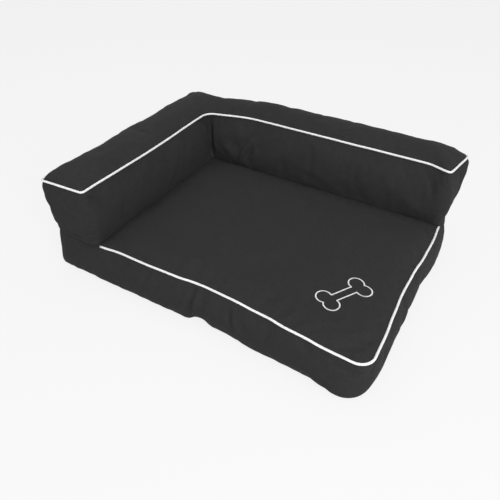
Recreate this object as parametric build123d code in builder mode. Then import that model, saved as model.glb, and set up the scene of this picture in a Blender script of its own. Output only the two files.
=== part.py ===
"""Dog sofa bed: a boxed foam mattress with an L-shaped padded bolster sewn on two of its sides.

The bed lies on the floor with +Z up. X runs along the long front, Y from the front to the back.
The origin is on the floor, under the middle of the mattress. All lengths are in millimetres.
"""

import os
from math import asin, cos, sin

from build123d import *

os.makedirs("parts", exist_ok=True)

# Overall sizes of the mattress
bed_length = 800.0
bed_depth = 600.0
seat_seam_height = 105.0

# Overall sizes of the bolster: its widths where it stands on the mattress, and at its piped top
left_arm_foot_width = 142.0
back_arm_foot_width = 98.0
left_arm_top_width = 115.0
back_arm_top_width = 103.0
bolster_seam_height = 250.0
back_lean = 29.0
left_setback = 7.0
left_end_setback = 2.0
right_end_setback = 5.0

# Cloth, and the slack between the cover and what fills it
cloth = 2.0
fit_gap = 0.3
cut_overrun = 20.0

# Shape of the mattress cover, level by level
front_draw_in = 20.0
right_draw_in = 10.0
bottom_bow_share = 0.4
bulge_bow_share = 0.4
mattress_tuck = 2.0
mattress_bulge = 9.0
mattress_bulge_height = 48.0
mattress_bottom_radius = 42.0
mattress_bulge_radius = 38.0
mattress_corner_radius = 32.0
seat_crown = 16.0
seat_shoulder = 110.0

# Shape of the bolster cover, level by level
bolster_bulge = 13.0
bolster_end_bulge = 5.0
bolster_bulge_height = 66.0
foot_corner_radius = 10.0
foot_crease_radius = 5.0
bulge_corner_radius = 22.0
bulge_outer_radius = 34.0
bulge_crease_radius = 6.0
top_corner_radius = 9.0
top_outer_radius = 30.0
top_crease_radius = 22.0
bolster_crown = 18.0
bolster_shoulder_share = 0.3
crown_reach = 2.0
band_seam_setback = 45.0

# How high a crown has risen at each place along it, both as shares
arm_crown_shares = ((0.0, 0.12), (0.08, 0.55), (0.2, 0.88), (0.4, 1.0), (0.6, 1.0))
seat_crown_shares = (
    (0.0, 0.1),
    (0.08, 0.6),
    (0.2, 0.93),
    (0.35, 1.0),
    (0.65, 1.0),
    (0.8, 0.93),
    (0.92, 0.6),
    (1.0, 0.1),
)

# Piping: a filler cord in a bias tape, which is sewn into the seam by its flange
piping_radius = 2.6
piping_cord_radius = 1.5
piping_cord_gap = 0.1
piping_flange_width = 6.0
piping_flange_thickness = 0.8
piping_lift = 1.0

# Fillings
wadding_thickness = 14.0
seat_foot_gap = 3.0
filling_crown_gap = 0.8
neck_gap = 1.0

# Coil zips in the two back bands
mattress_zip_end_gap = 35.0
mattress_zip_height = 54.0
bolster_zip_end_gap = 75.0
bolster_zip_rise = 36.0
zip_slot_width = 11.0
zip_tape_width = 14.0
zip_tape_thickness = 0.7
zip_tape_margin = 10.0
zip_coil_width = 2.6
zip_coil_thickness = 2.2
zip_centre_gap = 1.5
zip_stop_length = 3.0
zip_stop_height = 2.6
slider_length = 12.0
slider_wing = 1.2
slider_flange = 0.9
slider_post_length = 3.5
slider_post_gap = 0.25
slider_corner_radius = 2.5
bail_length = 6.6
bail_width = 1.6
bail_height = 3.0
bail_bar = 1.0
pull_pin_radius = 0.55
pull_arm_width = 1.1
pull_arm_gap = 0.4
pull_eye_length = 5.2
pull_length = 30.0
pull_thickness = 1.2
pull_corner_radius = 1.5
pull_hole_radius = 1.1

# Places worked out from those sizes
left = -bed_length / 2
right = bed_length / 2
front = -bed_depth / 2
back = bed_depth / 2
left_foot = left + left_arm_foot_width
back_foot = back - back_arm_foot_width
bolster_bottom = seat_seam_height + cloth
back_band_length = bed_length - 2 * band_seam_setback
mattress_zip_length = back_band_length - 2 * mattress_zip_end_gap
bolster_zip_length = back_band_length - 2 * bolster_zip_end_gap
top_left = left + left_setback
top_back = back + back_lean
top_front = front + left_end_setback
top_right = right - right_end_setback
top_inner_x = top_left + left_arm_top_width
top_inner_y = top_back - back_arm_top_width
inner_gap = cloth + fit_gap
flange_edge = piping_flange_width + fit_gap
flange_reach = fit_gap * 4
piping_offset = piping_radius + fit_gap
seat_flange_bottom = seat_seam_height - piping_flange_thickness
bolster_flange_bottom = bolster_seam_height - piping_flange_thickness
bead_height = piping_lift + piping_flange_thickness / 2


def between(low, high, share):
    return low + (high - low) * share


def save(part, name):
    part.label = name
    export_step(part, "parts/" + name + ".step")


def slab(
    z_low,
    z_high,
    x_low=left - cut_overrun,
    x_high=right + cut_overrun,
    y_low=front - cut_overrun,
    y_high=top_back + cut_overrun,
):
    """Plain block between two levels, and between two places along and across the bed."""
    with BuildPart() as block:
        with BuildSketch(Plane.XY.offset(z_low)):
            with Locations(((x_low + x_high) / 2, (y_low + y_high) / 2)):
                Rectangle(x_high - x_low, y_high - y_low)
        extrude(amount=z_high - z_low)
    return block.part


def open_edges(grow, bow_share):
    """The two drawn-in edges that the bolster leaves open: along the front, then along the right side."""
    x_right, y_front = right + grow, front - grow
    ThreePointArc(
        (left_foot, y_front),
        (between(left_foot, x_right, 0.5), y_front + front_draw_in * bow_share),
        (x_right, y_front),
    )
    ThreePointArc(
        (x_right, y_front),
        (x_right - right_draw_in * bow_share, between(y_front, back_foot, 0.5)),
        (x_right, back_foot),
    )


def mattress_outline(grow, radius, bow_share=1.0, back_inset=0.0):
    """Face of the mattress at one level: straight under the bolster, drawn in along the open edges."""
    x_left, x_right, y_front, y_back = left - grow, right + grow, front - grow, back - back_inset
    with BuildSketch() as outline:
        with BuildLine():
            open_edges(grow, bow_share)
            Polyline(
                (x_right, back_foot),
                (x_right, y_back),
                (x_left, y_back),
                (x_left, y_front),
                (left_foot, y_front),
            )
        make_face()
        corners = [
            outline.vertices().sort_by_distance(corner)[0]
            for corner in ((x_left, y_front), (x_right, y_front), (x_right, y_back), (x_left, y_back))
        ]
        fillet(corners, radius)
    return outline.sketch


def mattress_form(inset):
    """Shape of the mattress cover from the floor to the seat seam, its sides set in by inset."""
    levels = (
        (0, -mattress_tuck, mattress_bottom_radius, bottom_bow_share),
        (mattress_bulge_height, mattress_bulge, mattress_bulge_radius, bulge_bow_share),
        (seat_seam_height, 0, mattress_corner_radius, 1.0),
    )
    with BuildPart() as form:
        for height, grow, radius, bow_share in levels:
            with BuildSketch(Plane.XY.offset(height)):
                add(mattress_outline(grow - inset, radius - inset, bow_share, inset))
        loft()
    return form.part


def seat_plate(z_low, thickness, grow, inner_side=0.0):
    """Plate as large as the seat, which stops at the bolster's foot or inner_side short of it."""
    with BuildPart() as plate:
        with BuildSketch(Plane.XY.offset(z_low)):
            add(mattress_outline(grow, mattress_corner_radius + grow))
            with Locations((left_foot + inner_side, back_foot - inner_side)):
                Rectangle(bed_length, bed_depth, align=(Align.MIN, Align.MAX), mode=Mode.INTERSECT)
        extrude(amount=thickness)
    return plate.part


def crown_section(half_width, rise, rim, shoulder):
    """Section of a crown: level between two arcs, over a rim of even thickness or over a flat base."""
    top = rim + rise
    arc_radius = (shoulder**2 + rise**2) / (2 * rise)
    half_turn = asin(shoulder / arc_radius) / 2
    arc_x = half_width - shoulder + arc_radius * sin(half_turn)
    arc_z = top - arc_radius * (1 - cos(half_turn))
    with BuildSketch() as section:
        with BuildLine():
            ThreePointArc((-half_width, rim), (-arc_x, arc_z), (shoulder - half_width, top))
            Line((shoulder - half_width, top), (half_width - shoulder, top))
            ThreePointArc((half_width - shoulder, top), (arc_x, arc_z), (half_width, rim))
            if rim:
                Polyline((half_width, rim), (half_width, 0), (-half_width, 0), (-half_width, rim))
            else:
                Line((half_width, 0), (-half_width, 0))
        make_face()
    return section.sketch


def crown_form(start, end, half_width, rise, rim, shoulder, shares):
    """Crowned slab from start to end, which keeps its section past the last place in shares."""
    along = end - start
    across = Vector(0, 0, 1).cross(along)
    last_place, last_share = shares[-1]
    with BuildPart() as form:
        for place, share in shares:
            with BuildSketch(Plane(origin=start + along * place, x_dir=across, z_dir=along)):
                add(crown_section(half_width, rise * share, rim, shoulder))
        loft()
        if last_place < 1:
            with BuildSketch(Plane(origin=start + along * last_place, x_dir=across, z_dir=along)):
                add(crown_section(half_width, rise * last_share, rim, shoulder))
            extrude(amount=along.length * (1 - last_place))
    return form.part


def seat_crown_form(inner_inset, outer_inset, rise, rim):
    """Dome over the seat, set in from the bolster's foot and from the two open edges."""
    y_low, y_high = front + outer_inset, back_foot - inner_inset
    return crown_form(
        Vector(left_foot + inner_inset, (y_low + y_high) / 2, seat_seam_height),
        Vector(right - outer_inset, (y_low + y_high) / 2, seat_seam_height),
        (y_high - y_low) / 2,
        rise,
        rim,
        seat_shoulder,
        seat_crown_shares,
    )


mattress_outer = mattress_form(0)

# Cut where the seat ends at the bolster's foot
seat_zone = slab(
    seat_seam_height - wadding_thickness * 2, bolster_seam_height, x_low=left_foot, y_high=back_foot
)

# Underside, cut to the tucked-in bottom edge
with BuildPart() as underside_panel:
    add(mattress_outer)
    add(slab(0, cloth), mode=Mode.INTERSECT)
save(underside_panel.part, "underside_panel")

# Flange of the seat's piping, which lies in the seam between the seat panel and the side band
with BuildPart() as seat_flange:
    add(seat_plate(seat_flange_bottom, piping_flange_thickness, flange_reach))
    add(seat_plate(seat_flange_bottom, piping_flange_thickness, -piping_flange_width), mode=Mode.SUBTRACT)

# Seat piping: its tape goes round the cord and on into the flange. The drawn-in edges meet at less
# than a right angle, so the corner's radius grows by a little less than the piping's offset.
with BuildLine(Plane.XY.offset(seat_flange_bottom + bead_height)) as seat_piping_line:
    open_edges(piping_offset, 1.0)
    open_corner = seat_piping_line.vertices().sort_by_distance((right, front))[0]
    fillet(open_corner, mattress_corner_radius + piping_radius - 2 * fit_gap)
seat_piping_path = seat_piping_line.wire()
with BuildPart() as seat_piping_tape:
    with BuildSketch(Plane(origin=seat_piping_path @ 0, z_dir=seat_piping_path % 0)):
        Circle(piping_radius)
        Circle(piping_cord_radius + piping_cord_gap, mode=Mode.SUBTRACT)
    sweep(path=seat_piping_path)
    add(seat_flange.part)
save(seat_piping_tape.part, "seat_piping_tape")
with BuildPart() as seat_piping_cord:
    with BuildSketch(Plane(origin=seat_piping_path @ 0, z_dir=seat_piping_path % 0)):
        Circle(piping_cord_radius)
    sweep(path=seat_piping_path)
save(seat_piping_cord.part, "seat_piping_cord")

# Wall of the mattress cover, cut into one long side band and a back band
with BuildPart() as mattress_wall:
    add(mattress_outer)
    add(mattress_form(cloth), mode=Mode.SUBTRACT)
    add(slab(cloth, seat_seam_height), mode=Mode.INTERSECT)
    add(seat_flange.part, mode=Mode.SUBTRACT)
mattress_back_zone = slab(
    0,
    seat_seam_height,
    x_low=left + band_seam_setback,
    x_high=right - band_seam_setback,
    y_low=back - cloth * 2,
)
with BuildPart() as mattress_side_band:
    add(mattress_wall.part)
    add(mattress_back_zone, mode=Mode.SUBTRACT)
save(mattress_side_band.part, "mattress_side_band")

# Face of each back band, seen from behind: its own X along the zip, its own Y up, its normal outwards
mattress_back_face = Plane(origin=(0, back, mattress_zip_height), x_dir=(-1, 0, 0), z_dir=(0, 1, 0))
bolster_band_height = bolster_seam_height - bolster_bottom
bolster_zip_y = between(back, top_back, bolster_zip_rise / bolster_band_height)
bolster_back_face = Plane(
    origin=(0, bolster_zip_y, bolster_bottom + bolster_zip_rise),
    x_dir=(-1, 0, 0),
    z_dir=(0, bolster_band_height, -back_lean),
)

# Heights of the zip's layers over the face of its band, the tape behind the cloth and the coils on the tape
tape_level = -cloth - zip_tape_thickness
coil_level = -cloth
coil_top = coil_level + zip_coil_thickness
wing_level = coil_top + fit_gap
wing_top = wing_level + slider_wing
inner_wing_level = tape_level - fit_gap - slider_wing
pin_level = wing_top + (bail_height - bail_bar) / 2
coil_edge = zip_centre_gap / 2 + zip_coil_width
slider_width = 2 * (coil_edge + fit_gap + slider_flange)
pull_width = bail_width + 2 * (pull_arm_gap + pull_arm_width)


def zip_block(face, level, height, place, length, width):
    """Block on the band's face: from a level outwards, centred on a place along and up the face."""
    with BuildPart() as block:
        with BuildSketch(face.offset(level)):
            with Locations(place):
                Rectangle(length, width)
        extrude(amount=height)
    return block.part


def zip_slot(face, length):
    """What the band loses where the zip shows."""
    return zip_block(face, -cloth * 2, cloth * 4, (0, 0), length, zip_slot_width)


def zip_pocket(face, length):
    """Room in the filling for the tapes and for the slider's inner wing."""
    level = inner_wing_level - fit_gap
    pocket_length = length + 2 * (zip_tape_margin + fit_gap)
    pocket_width = zip_centre_gap + 2 * (zip_tape_width + fit_gap)
    return zip_block(face, level, cloth - level, (0, 0), pocket_length, pocket_width)


def split_back_band(wall, face, length, zip_name):
    """The back band's upper and lower halves, sewn together past the ends of the zip."""
    for side, keep in (("upper", Keep.TOP), ("lower", Keep.BOTTOM)):
        with BuildPart() as half:
            add(wall)
            add(zip_slot(face, length), mode=Mode.SUBTRACT)
            split(bisect_by=Plane(origin=face.origin, z_dir=face.y_dir), keep=keep)
        save(half.part, zip_name + "_back_band_" + side)


def zip_fastener(face, length, zip_name):
    """Coil zip of one back band: two taped coil rows, end stops, a slider and its pull."""
    for side, sign in (("upper", 1), ("lower", -1)):
        with BuildPart() as tape:
            place = (0, sign * (zip_centre_gap + zip_tape_width) / 2)
            tape_length = length + 2 * zip_tape_margin
            add(zip_block(face, tape_level, zip_tape_thickness, place, tape_length, zip_tape_width))
        save(tape.part, zip_name + "_zip_tape_" + side)
        with BuildPart() as coil:
            place = (0, sign * (zip_centre_gap + zip_coil_width) / 2)
            coil_length = length - 2 * zip_stop_length
            add(zip_block(face, coil_level, zip_coil_thickness, place, coil_length, zip_coil_width))
        save(coil.part, zip_name + "_zip_coil_" + side)
    with BuildPart() as stops:
        with BuildSketch(face.offset(coil_level)):
            with Locations(((length - zip_stop_length) / 2, 0), ((zip_stop_length - length) / 2, 0)):
                Rectangle(zip_stop_length, 2 * coil_edge)
        extrude(amount=zip_stop_height)
    save(stops.part, zip_name + "_zip_stops")

    # The slider waits at the closed end; its post runs in the gap between the coils
    closed = length / 2 - zip_stop_length - fit_gap - slider_length / 2
    side_face = Plane(origin=face.origin, x_dir=face.x_dir, z_dir=-face.y_dir)
    with BuildPart() as slider:
        for level in (wing_level, inner_wing_level):
            with BuildSketch(face.offset(level)):
                with Locations((closed, 0)):
                    RectangleRounded(slider_length, slider_width, slider_corner_radius)
            extrude(amount=slider_wing)
        with BuildSketch(face.offset(inner_wing_level)):
            with Locations((closed + slider_length / 2 - slider_post_length, 0)):
                Rectangle(slider_post_length, zip_centre_gap - 2 * slider_post_gap)
        extrude(amount=wing_top - inner_wing_level)
        with BuildSketch(face.offset(coil_level + fit_gap)):
            flange_place = (slider_width - slider_flange) / 2
            with Locations((closed, flange_place), (closed, -flange_place)):
                Rectangle(slider_length - 2 * slider_corner_radius, slider_flange)
        extrude(amount=wing_top - coil_level - fit_gap)
        with BuildSketch(side_face):
            with Locations((closed, wing_top)):
                Rectangle(bail_length, bail_height, align=(Align.CENTER, Align.MIN))
                Rectangle(
                    bail_length - 2 * bail_bar,
                    bail_height - bail_bar,
                    align=(Align.CENTER, Align.MIN),
                    mode=Mode.SUBTRACT,
                )
        extrude(amount=bail_width / 2, both=True)
    save(slider.part, zip_name + "_zip_slider")

    # The pull's pin lies in the bail, and its tab lies along the coils
    with BuildPart() as pull:
        with BuildSketch(face.offset(pin_level - pull_thickness / 2)) as tab:
            with Locations((closed + pull_pin_radius, 0)):
                Rectangle(pull_length, pull_width, align=(Align.MAX, Align.CENTER))
                Rectangle(
                    pull_eye_length + pull_pin_radius,
                    bail_width + 2 * pull_arm_gap,
                    align=(Align.MAX, Align.CENTER),
                    mode=Mode.SUBTRACT,
                )
            fillet(tab.vertices().group_by(Axis.X)[0], pull_corner_radius)
            with Locations((closed + pull_pin_radius - pull_length + pull_width / 2, 0)):
                Circle(pull_hole_radius, mode=Mode.SUBTRACT)
        extrude(amount=pull_thickness)
        with BuildSketch(side_face):
            with Locations((closed, pin_level)):
                Circle(pull_pin_radius)
        extrude(amount=pull_width / 2, both=True)
    save(pull.part, zip_name + "_zip_pull")

    # What the joints need: the pin's middle, and how far the slider travels
    pin = face.from_local_coords(Vector(closed, 0, pin_level))
    print(zip_name, "pin", pin, "axis", face.y_dir, "travel", closed * 2)


with BuildPart() as mattress_back_band:
    add(mattress_wall.part)
    add(mattress_back_zone, mode=Mode.INTERSECT)
split_back_band(mattress_back_band.part, mattress_back_face, mattress_zip_length, "mattress")
zip_fastener(mattress_back_face, mattress_zip_length, "mattress")

# Foam block, lower under the seat to take the wadding, and cut away behind the zip
with BuildPart() as mattress_core:
    add(mattress_form(inner_gap))
    add(slab(inner_gap, seat_flange_bottom - fit_gap), mode=Mode.INTERSECT)
wadding_level = seat_flange_bottom - fit_gap - wadding_thickness
with BuildPart() as wadding_bed:
    add(seat_zone)
    add(slab(wadding_level, bolster_seam_height), mode=Mode.INTERSECT)
with BuildPart() as mattress_foam:
    add(mattress_core.part)
    add(wadding_bed.part, mode=Mode.SUBTRACT)
    add(zip_pocket(mattress_back_face, mattress_zip_length), mode=Mode.SUBTRACT)
save(mattress_foam.part, "mattress_foam")

# Wadding over the foam: a base beside the foam's step, a neck inside the piping's flange, and a dome
neck_inset = flange_edge + neck_gap
neck_height = piping_flange_thickness + fit_gap
with BuildPart() as wadding_base:
    add(mattress_core.part)
    add(wadding_bed.part, mode=Mode.INTERSECT)
with BuildPart() as seat_wadding:
    add(seat_crown_form(neck_inset, neck_inset, seat_crown - filling_crown_gap, 0))
    add(seat_plate(seat_seam_height, seat_crown * 2, -neck_inset, neck_inset), mode=Mode.INTERSECT)
    add(seat_plate(seat_flange_bottom - fit_gap, neck_height, -neck_inset, neck_inset))
    add(wadding_base.part)
save(seat_wadding.part, "seat_wadding")

# Seat panel: domed skin with a flat rim over the flange
with BuildPart() as seat_hollow:
    add(seat_crown_form(flange_edge, flange_edge, seat_crown, 0))
    add(seat_plate(seat_seam_height, seat_crown * 2, -flange_edge, flange_edge), mode=Mode.INTERSECT)
with BuildPart() as seat_panel:
    add(seat_crown_form(seat_foot_gap, 0, seat_crown, cloth))
    add(seat_plate(seat_seam_height, seat_crown * 2, 0), mode=Mode.INTERSECT)
    add(seat_plate(seat_seam_height, cloth, 0))
    add(seat_hollow.part, mode=Mode.SUBTRACT)
save(seat_panel.part, "seat_panel")

# Divider between the mattress and the bolster, which the bolster's foot is sewn to
with BuildPart() as bolster_floor_panel:
    with BuildSketch(Plane.XY.offset(seat_seam_height)):
        add(mattress_outline(0, mattress_corner_radius))
    extrude(amount=cloth)
    add(seat_zone, mode=Mode.SUBTRACT)
save(bolster_floor_panel.part, "bolster_floor_panel")


# Bolster cover: at each level its six sides, then the radii of its corners
bulge_share = bolster_bulge_height / bolster_band_height
foot_level = (
    (left, left_foot, right),
    (front, back_foot, back),
    (mattress_corner_radius, foot_corner_radius, mattress_corner_radius, foot_crease_radius),
)
bulge_level = (
    (
        between(left, top_left, bulge_share) - bolster_end_bulge,
        between(left_foot, top_inner_x, bulge_share) + bolster_bulge,
        between(right, top_right, bulge_share) + bolster_end_bulge,
    ),
    (
        between(front, top_front, bulge_share) - bolster_end_bulge,
        between(back_foot, top_inner_y, bulge_share) - bolster_bulge,
        between(back, top_back, bulge_share),
    ),
    (bulge_outer_radius, bulge_corner_radius, bulge_outer_radius, bulge_crease_radius),
)
top_level = (
    (top_left, top_inner_x, top_right),
    (top_front, top_inner_y, top_back),
    (top_corner_radius, top_corner_radius, top_outer_radius, top_crease_radius),
)


def bolster_outline(level, inset):
    """L-shaped face of the bolster at one level, its sides set in by inset."""
    (x_outer, x_inner, x_end), (y_end, y_inner, y_outer), radii = level
    end_radius, inner_radius, outer_radius, crease_radius = radii
    x_outer, x_inner, x_end = x_outer + inset, x_inner - inset, x_end - inset
    y_end, y_inner, y_outer = y_end + inset, y_inner + inset, y_outer - inset
    corners = (
        ((x_outer, y_end), end_radius - inset),
        ((x_inner, y_end), inner_radius - inset),
        ((x_inner, y_inner), crease_radius + inset),
        ((x_end, y_inner), inner_radius - inset),
        ((x_end, y_outer), end_radius - inset),
        ((x_outer, y_outer), outer_radius - inset),
    )
    with BuildSketch() as outline:
        with BuildLine():
            Polyline([corner for corner, radius in corners], close=True)
        make_face()
        for corner, radius in corners:
            fillet(outline.vertices().sort_by_distance(corner)[0], radius)
    return outline.sketch


def bolster_form(inset):
    """Shape of the bolster cover from the divider to its piped seam, its sides set in by inset."""
    levels = (
        (bolster_bottom, foot_level),
        (bolster_bottom + bolster_bulge_height, bulge_level),
        (bolster_seam_height, top_level),
    )
    with BuildPart() as form:
        for height, level in levels:
            with BuildSketch(Plane.XY.offset(height)):
                add(bolster_outline(level, inset))
        loft()
    return form.part


def top_plate(z_low, thickness, inset):
    """Plate to the outline of the bolster's top, its sides set in by inset."""
    with BuildPart() as plate:
        with BuildSketch(Plane.XY.offset(z_low)):
            add(bolster_outline(top_level, inset))
        extrude(amount=thickness)
    return plate.part


# The arms' crowns meet on this plane, which TOP puts on the back arm's side
mitre_plane = Plane(
    origin=(top_inner_x, top_inner_y, bolster_seam_height),
    z_dir=(back_arm_top_width, left_arm_top_width, 0),
)


def arm_crowns(inset, rise, rim):
    """Crown over the left arm and crown over the back arm, cut where they meet in the corner.

    They reach a little past the outline that a plate then cuts them to.
    """
    reach = crown_reach - inset
    middle_x = top_left + left_arm_top_width / 2
    middle_y = top_back - back_arm_top_width / 2
    runs = (
        ((middle_x, top_front - reach), (middle_x, top_back + reach), left_arm_top_width, Keep.BOTTOM),
        ((top_right + reach, middle_y), (top_left - reach, middle_y), back_arm_top_width, Keep.TOP),
    )
    crowns = []
    for start, end, top_width, keep in runs:
        start, end = (Vector(*place, bolster_seam_height) for place in (start, end))
        shoulder = top_width * bolster_shoulder_share
        with BuildPart() as crown:
            add(crown_form(start, end, top_width / 2 + reach, rise, rim, shoulder, arm_crown_shares))
            split(bisect_by=mitre_plane, keep=keep)
        crowns.append(crown.part)
    return crowns


# Piping round the bolster's top: flange, tape and cord
with BuildPart() as bolster_flange:
    add(top_plate(bolster_flange_bottom, piping_flange_thickness, -flange_reach))
    add(top_plate(bolster_flange_bottom, piping_flange_thickness, piping_flange_width), mode=Mode.SUBTRACT)
with BuildSketch(Plane.XY.offset(bolster_flange_bottom + bead_height)) as bolster_piping_loop:
    add(bolster_outline(top_level, -piping_offset))
bolster_piping_path = bolster_piping_loop.sketch.face().outer_wire()
with BuildPart() as bolster_piping_tape:
    with BuildSketch(Plane(origin=bolster_piping_path @ 0, z_dir=bolster_piping_path % 0)):
        Circle(piping_radius)
        Circle(piping_cord_radius + piping_cord_gap, mode=Mode.SUBTRACT)
    sweep(path=bolster_piping_path)
    add(bolster_flange.part)
save(bolster_piping_tape.part, "bolster_piping_tape")
with BuildPart() as bolster_piping_cord:
    with BuildSketch(Plane(origin=bolster_piping_path @ 0, z_dir=bolster_piping_path % 0)):
        Circle(piping_cord_radius)
    sweep(path=bolster_piping_path)
save(bolster_piping_cord.part, "bolster_piping_cord")

# Wall of the bolster cover, cut into inner bands that wrap the ends, an outer band and a back band
bolster_outer = bolster_form(0)
with BuildPart() as bolster_wall:
    add(bolster_outer)
    add(bolster_form(cloth), mode=Mode.SUBTRACT)
    add(bolster_flange.part, mode=Mode.SUBTRACT)
left_seam = left + band_seam_setback
bolster_left_zone = slab(
    bolster_bottom,
    bolster_seam_height,
    x_high=left_seam,
    y_low=front + band_seam_setback,
)
bolster_back_zone = slab(
    bolster_bottom,
    bolster_seam_height,
    x_low=left_seam,
    x_high=right - band_seam_setback,
    y_low=(back_foot + back) / 2,
)
with BuildPart() as bolster_outer_left_band:
    add(bolster_wall.part)
    add(bolster_left_zone, mode=Mode.INTERSECT)
save(bolster_outer_left_band.part, "bolster_outer_left_band")
with BuildPart() as bolster_back_band:
    add(bolster_wall.part)
    add(bolster_back_zone, mode=Mode.INTERSECT)
split_back_band(bolster_back_band.part, bolster_back_face, bolster_zip_length, "bolster")
zip_fastener(bolster_back_face, bolster_zip_length, "bolster")
top_corner = Vector(top_inner_x, top_inner_y, bolster_seam_height)
crease_down = Vector(left_foot, back_foot, bolster_bottom) - top_corner
corner_across = Vector(top_left, top_back, bolster_seam_height) - top_corner
crease_plane = Plane(origin=top_corner, z_dir=crease_down.cross(corner_across))
for band_name, keep in (("bolster_inner_left_band", Keep.BOTTOM), ("bolster_inner_back_band", Keep.TOP)):
    with BuildPart() as inner_band:
        add(bolster_wall.part)
        add(bolster_left_zone, mode=Mode.SUBTRACT)
        add(bolster_back_zone, mode=Mode.SUBTRACT)
        split(bisect_by=crease_plane, keep=keep)
    save(inner_band.part, band_name)

# Top panel: crowned skin with a flat rim over the flange, which also fills the rounded inner corner
with BuildPart() as bolster_top_hollow:
    add(arm_crowns(flange_edge, bolster_crown, 0))
    add(top_plate(bolster_seam_height, bolster_crown * 2, flange_edge), mode=Mode.INTERSECT)
with BuildPart() as crease_fill:
    add(top_plate(bolster_seam_height, cloth, 0))
    add(
        slab(bolster_seam_height, bolster_seam_height + cloth, x_low=top_inner_x, y_high=top_inner_y),
        mode=Mode.INTERSECT,
    )
with BuildPart() as bolster_top_panel:
    add(arm_crowns(0, bolster_crown, cloth))
    add(top_plate(bolster_seam_height, bolster_crown * 2, 0), mode=Mode.INTERSECT)
    add(crease_fill.part)
    add(bolster_top_hollow.part, mode=Mode.SUBTRACT)
save(bolster_top_panel.part, "bolster_top_panel")

# Fillings of the two arms: a block inside the bands, a neck inside the flange and a crown under the top
with BuildPart() as filling_crown:
    add(arm_crowns(neck_inset, bolster_crown - filling_crown_gap, 0))
    add(top_plate(bolster_seam_height, bolster_crown * 2, neck_inset), mode=Mode.INTERSECT)
with BuildPart() as bolster_core:
    add(bolster_form(inner_gap))
    add(slab(bolster_bottom + fit_gap, bolster_flange_bottom - fit_gap), mode=Mode.INTERSECT)
    add(zip_pocket(bolster_back_face, bolster_zip_length), mode=Mode.SUBTRACT)
    add(top_plate(bolster_flange_bottom - fit_gap, neck_height, neck_inset))
    add(filling_crown.part)
for fill_name, keep in (("bolster_left_filling", Keep.BOTTOM), ("bolster_back_filling", Keep.TOP)):
    with BuildPart() as filling:
        add(bolster_core.part)
        split(bisect_by=mitre_plane, keep=keep)
    save(filling.part, fill_name)
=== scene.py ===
"""Dog sofa bed: the looks of its padded mattress, L-shaped bolster, white piping, embroidery and zips."""

import math

import bmesh
import bpy
import numpy as np
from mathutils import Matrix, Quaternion, Vector
from mathutils.noise import noise


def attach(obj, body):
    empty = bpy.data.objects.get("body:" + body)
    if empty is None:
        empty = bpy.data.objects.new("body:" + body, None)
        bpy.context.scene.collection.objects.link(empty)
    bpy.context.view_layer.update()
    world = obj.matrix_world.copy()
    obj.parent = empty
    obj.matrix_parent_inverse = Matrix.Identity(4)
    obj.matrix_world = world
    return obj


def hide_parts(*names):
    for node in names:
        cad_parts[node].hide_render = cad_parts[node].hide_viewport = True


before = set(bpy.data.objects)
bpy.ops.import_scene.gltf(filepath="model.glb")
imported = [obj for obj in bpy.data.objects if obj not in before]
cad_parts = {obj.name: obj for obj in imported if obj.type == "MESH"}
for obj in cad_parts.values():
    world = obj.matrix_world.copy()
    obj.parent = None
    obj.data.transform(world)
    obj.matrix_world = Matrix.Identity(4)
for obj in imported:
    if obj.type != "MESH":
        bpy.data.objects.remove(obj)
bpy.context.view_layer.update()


# Camera. It stands to the right of the bed's front and looks down on it, as the photograph does. Its place
# and its lens were fitted to the bed's corners and piping there.
def shown(name, data):
    """A new object in the scene."""
    piece = bpy.data.objects.new(name, data)
    bpy.context.scene.collection.objects.link(piece)
    return piece


camera_azimuth, camera_elevation, camera_roll = (math.radians(a) for a in (33.02, 36.92, -0.63))
camera_target, camera_distance = Vector((-0.0694, -0.0754, 0.08)), 1.2922
camera_middle = (216.05, 233.0)
photo_size, photo_focal_length = 500.0, 513.3
towards_camera = Vector((
    math.sin(camera_azimuth) * math.cos(camera_elevation),
    -math.cos(camera_azimuth) * math.cos(camera_elevation),
    math.sin(camera_elevation),
))
camera = shown("camera", bpy.data.cameras.new("camera"))
bpy.context.scene.camera = camera
camera.location = camera_target + towards_camera * camera_distance
camera.rotation_mode = "QUATERNION"
camera.rotation_quaternion = (-towards_camera).to_track_quat("-Z", "Y") @ Quaternion((0, 0, 1), camera_roll)
camera.data.sensor_width = 36.0
camera.data.lens = photo_focal_length / photo_size * camera.data.sensor_width
camera.data.shift_x = 0.5 - camera_middle[0] / photo_size
camera.data.shift_y = camera_middle[1] / photo_size - 0.5


# Studio. A white floor and a white surround that fills weakly from all sides, with a soft box overhead and a
# stronger one at the right front. Both whites show brighter than they light the bed.
class Wire:
    """A shader socket that adds a Math node for each operation in an expression."""

    def __init__(self, finish, socket):
        self.finish, self.socket = finish, socket

    def math(self, operation, *values):
        return self.finish.node("ShaderNodeMath", {"operation": operation}, self, *values)

    def __add__(self, other):
        return self.math("ADD", other)

    def __sub__(self, other):
        return self.math("SUBTRACT", other)

    def __rsub__(self, other):
        return self * -1.0 + other

    def __mul__(self, other):
        return self.math("MULTIPLY", other)

    __radd__, __rmul__ = __add__, __mul__

    def sine(self):
        return self.math("SINE")

    def size(self):
        return self.math("ABSOLUTE")

    def larger(self, other):
        return self.math("MAXIMUM", other)

    def share(self):
        """The same value, held between 0 and 1."""
        return self.finish.node("ShaderNodeClamp", None, self)

    def part(self, name):
        return Wire(self.finish, self.socket.node.outputs[name])


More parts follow.
